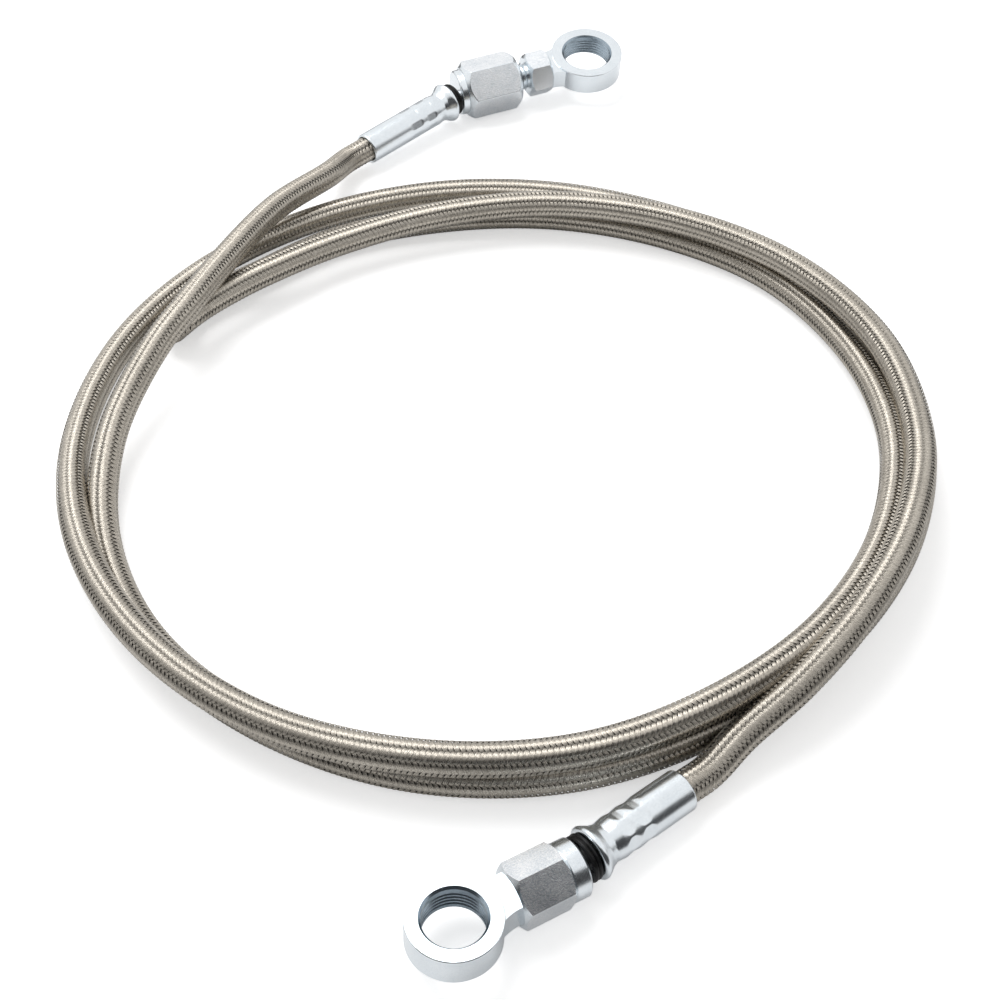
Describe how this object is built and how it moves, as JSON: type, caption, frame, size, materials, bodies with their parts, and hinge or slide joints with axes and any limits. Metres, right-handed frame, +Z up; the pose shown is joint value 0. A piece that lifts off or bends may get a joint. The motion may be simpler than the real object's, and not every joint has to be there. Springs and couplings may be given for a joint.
{
  "type": "clutch hose",
  "caption": "Braided steel clutch hose lying loosely coiled, with a swaged banjo fitting on each end for the master and slave cylinder bolts.",
  "frame": {"origin": "on the surface the hose lies on, midway between the outer edges of the two fittings", "axes": "+X to the right and +Y away from the viewer across the coil, +Z up from the surface"},
  "size_m": [0.1743, 0.2563, 0.017],
  "materials": {
    "zinc_plate": "satin bluish zinc plate over turned and pressed steel",
    "bright_steel": "bare turned steel, hidden inside the fittings",
    "black_rubber": "smooth dull black rubber",
    "steel_braid": "fine stainless wire braid, warm silver grey"
  },
  "bodies": {
    "root": {"near_ferrule": "zinc_plate", "near_nipple": "bright_steel", "near_seal_ring": "black_rubber", "near_banjo_body": "zinc_plate", "far_ferrule": "zinc_plate", "far_nipple": "bright_steel", "far_seal_ring": "black_rubber", "far_union_nut": "zinc_plate", "far_banjo_body": "zinc_plate", "braided_hose": "steel_braid"}
  },
  "joints": []
}
